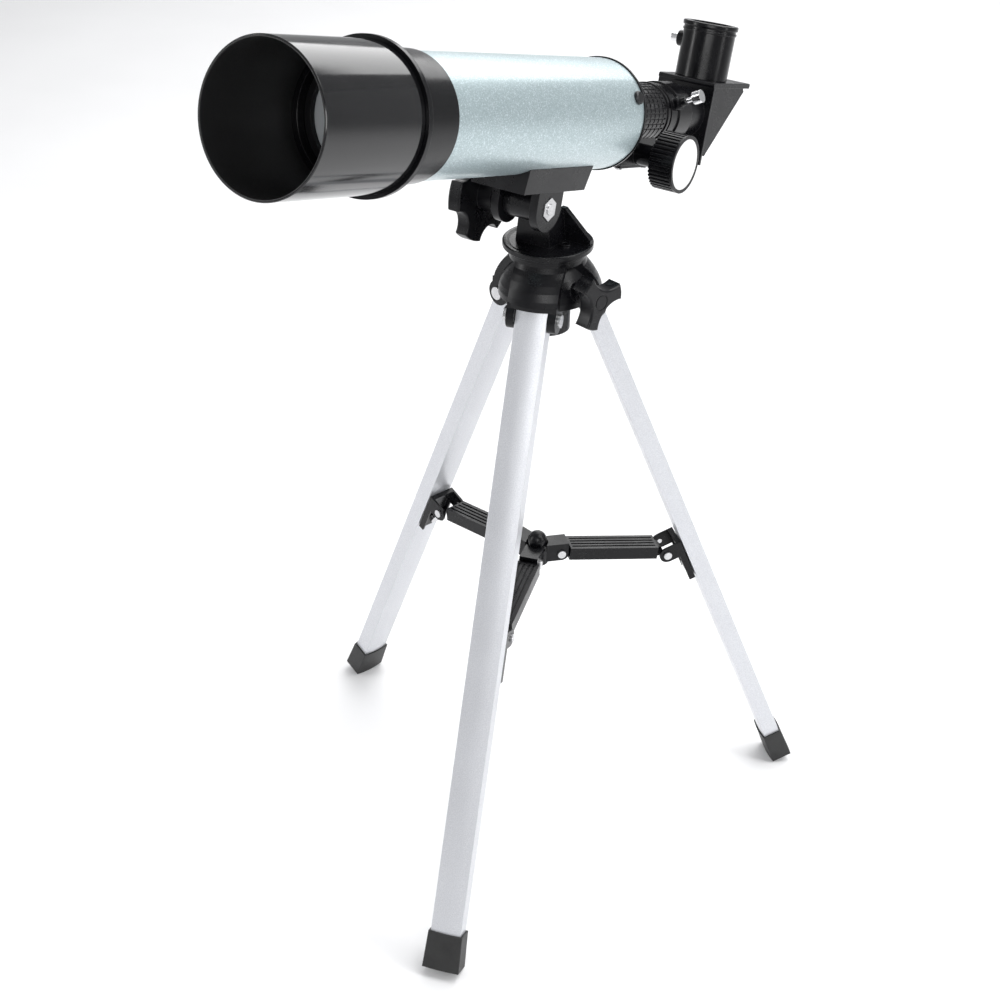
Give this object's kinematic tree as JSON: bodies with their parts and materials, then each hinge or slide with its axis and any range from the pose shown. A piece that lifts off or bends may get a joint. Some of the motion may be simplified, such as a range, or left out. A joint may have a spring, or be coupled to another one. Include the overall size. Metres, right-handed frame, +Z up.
{
  "type": "tabletop refractor telescope",
  "caption": "Small refractor telescope with a star diagonal and rack focuser on an alt-azimuth turntable over a folding tabletop tripod.",
  "frame": {"origin": "on the ground under the tripod's vertical axis", "axes": "+Z up; the tube aims along -Y, raised 15 degrees; +X is the side with the azimuth lock knob"},
  "size_m": [0.3071, 0.4406, 0.5481],
  "materials": {
    "silver_tube_paint": "pale blue-silver metallic paint, fine speckle",
    "gloss_black_hood": "gloss",
    "black_moulding": "semi-gloss",
    "matte_black_ring": "matte",
    "black_screw": "black oxide",
    "bright_steel": "satin zinc plate",
    "bright_screw": "polished",
    "white_cap": "semi-gloss",
    "lens_glass": "coated",
    "mirror_glass": "first surface",
    "leg_aluminium": "satin anodised",
    "foot_rubber": "matte"
  },
  "bodies": {
    "optical_tube": {"dew_hood": "gloss_black_hood", "objective_cell": "black_moulding", "lens_retaining_ring": "matte_black_ring", "lens_crown": "lens_glass", "lens_flint": "lens_glass", "lens_spacer": "matte_black_ring", "main_tube": "silver_tube_paint", "tube_baffle": "matte_black_ring", "focuser_housing": "black_moulding", "tube_screws": "black_screw", "pinion_cover": "black_moulding", "pinion_cover_screws": "bright_steel", "saddle": "black_moulding", "saddle_screws": "bright_steel", "altitude_nut": "bright_steel"},
    "focus_shaft": {"pinion_shaft": "bright_steel", "focus_knob_near": "black_moulding", "focus_knob_far": "black_moulding", "focus_knob_cap_near": "white_cap", "focus_knob_cap_far": "white_cap"},
    "draw_tube": {"draw_tube": "black_moulding", "rack": "matte_black_ring"},
    "diagonal_clamp": {"diagonal_clamp_screw": "bright_screw"},
    "diagonal": {"diagonal_body": "black_moulding", "diagonal_cover": "black_moulding", "diagonal_mirror": "mirror_glass", "eyepiece_holder": "black_moulding"},
    "eyepiece_clamp": {"eyepiece_clamp_screw": "bright_screw"},
    "turntable": {"turntable": "black_moulding", "turntable_keeper_screw": "bright_steel"},
    "altitude_clamp": {"altitude_wing_knob": "black_moulding", "altitude_bolt": "bright_steel"},
    "tripod_head": {"tripod_head": "black_moulding", "leg_pivot_pins": "bright_steel", "leg_pivot_nuts": "bright_steel"},
    "azimuth_lock": {"azimuth_lock_knob": "black_moulding", "azimuth_lock_screw": "bright_steel"},
    "spreader_hub": {"spreader_hub": "black_moulding", "spreader_ball_knob": "black_moulding", "spreader_pins": "bright_steel"},
    "leg_1": {"leg_1": "leg_aluminium", "foot_1": "foot_rubber", "leg_clip_1": "black_moulding", "clip_fixings_1": "bright_steel"},
    "brace_1": {"brace_1": "black_moulding"},
    "leg_2": {"leg_2": "leg_aluminium", "foot_2": "foot_rubber", "leg_clip_2": "black_moulding", "clip_fixings_2": "bright_steel"},
    "brace_2": {"brace_2": "black_moulding"},
    "leg_3": {"leg_3": "leg_aluminium", "foot_3": "foot_rubber", "leg_clip_3": "black_moulding", "clip_fixings_3": "bright_steel"},
    "brace_3": {"brace_3": "black_moulding"}
  },
  "joints": [
    {"name": "azimuth_turn", "type": "hinge", "parent": "tripod_head", "child": "turntable", "pos_m": [0, 0, 0.3803], "axis": [0, 0, 1], "continuous": true},
    {"name": "altitude_tilt", "type": "hinge", "parent": "turntable", "child": "optical_tube", "pos_m": [-0.004, -0.017, 0.4105], "axis": [-1, 0, 0], "range_deg": [-30, 20]},
    {"name": "altitude_clamp_turn", "type": "hinge", "parent": "optical_tube", "child": "altitude_clamp", "pos_m": [-0.004, -0.017, 0.4105], "axis": [-1, 0, 0], "continuous": true},
    {"name": "azimuth_lock_turn", "type": "hinge", "parent": "tripod_head", "child": "azimuth_lock", "pos_m": [0.03496, -0.00859, 0.3623], "axis": [0.9711, -0.2385, 0], "continuous": true},
    {"name": "focus_turn", "type": "hinge", "parent": "optical_tube", "child": "focus_shaft", "pos_m": [-0.004, 0.08162, 0.41151], "axis": [-1, 0, 0], "range_deg": [0, 491.2]},
    {"name": "draw_tube_slide", "type": "slide", "parent": "optical_tube", "child": "draw_tube", "axis": [0, 0.9659, -0.2588], "range_m": [0, 0.03]},
    {"name": "diagonal_turn", "type": "hinge", "parent": "draw_tube", "child": "diagonal", "pos_m": [-0.004, 0.14005, 0.41708], "axis": [0, 0.9659, -0.2588], "continuous": true},
    {"name": "diagonal_clamp_turn", "type": "hinge", "parent": "draw_tube", "child": "diagonal_clamp", "pos_m": [0.02273, 0.11895, 0.43683], "axis": [0.891, 0.1175, 0.4385], "continuous": true},
    {"name": "eyepiece_clamp_turn", "type": "hinge", "parent": "diagonal", "child": "eyepiece_clamp", "pos_m": [-0.024, 0.18167, 0.44837], "axis": [-1, 0, 0], "continuous": true},
    {"name": "leg_1_fold", "type": "hinge", "parent": "tripod_head", "child": "leg_1", "pos_m": [0.00667, -0.02295, 0.34915], "axis": [0.9603, 0.279, 0], "range_deg": [0, 20.2]},
    {"name": "leg_2_fold", "type": "hinge", "parent": "tripod_head", "child": "leg_2", "pos_m": [0.01654, 0.01725, 0.34915], "axis": [-0.7218, 0.6921, 0], "range_deg": [0, 20.2]},
    {"name": "leg_3_fold", "type": "hinge", "parent": "tripod_head", "child": "leg_3", "pos_m": [-0.02321, 0.0057, 0.34915], "axis": [-0.2385, -0.9711, 0], "range_deg": [0, 20.2]},
    {"name": "spreader_slide", "type": "slide", "parent": "tripod_head", "child": "spreader_hub", "axis": [0, 0, 1], "range_m": [0, 0.0508]},
    {"name": "brace_1_turn", "type": "hinge", "parent": "spreader_hub", "child": "brace_1", "pos_m": [0.00391, -0.01344, 0.1826], "axis": [0.9603, 0.279, 0], "range_deg": [0, 81.5]},
    {"name": "brace_2_turn", "type": "hinge", "parent": "spreader_hub", "child": "brace_2", "pos_m": [0.00969, 0.0101, 0.1826], "axis": [-0.7218, 0.6921, 0], "range_deg": [0, 81.5]},
    {"name": "brace_3_turn", "type": "hinge", "parent": "spreader_hub", "child": "brace_3", "pos_m": [-0.0136, 0.00334, 0.1826], "axis": [-0.2385, -0.9711, 0], "range_deg": [0, 81.5]}
  ],
  "couplings": [
    {"joint": "focus_turn", "follows": "draw_tube_slide", "rad_per_m": 285.71},
    {"joint": "leg_2_fold", "follows": "leg_1_fold", "ratio": 1},
    {"joint": "leg_3_fold", "follows": "leg_1_fold", "ratio": 1},
    {"joint": "spreader_slide", "follows": "leg_1_fold", "m_per_rad": 0.14367},
    {"joint": "brace_1_turn", "follows": "leg_1_fold", "ratio": 4.0267},
    {"joint": "brace_2_turn", "follows": "leg_1_fold", "ratio": 4.0267},
    {"joint": "brace_3_turn", "follows": "leg_1_fold", "ratio": 4.0267}
  ]
}
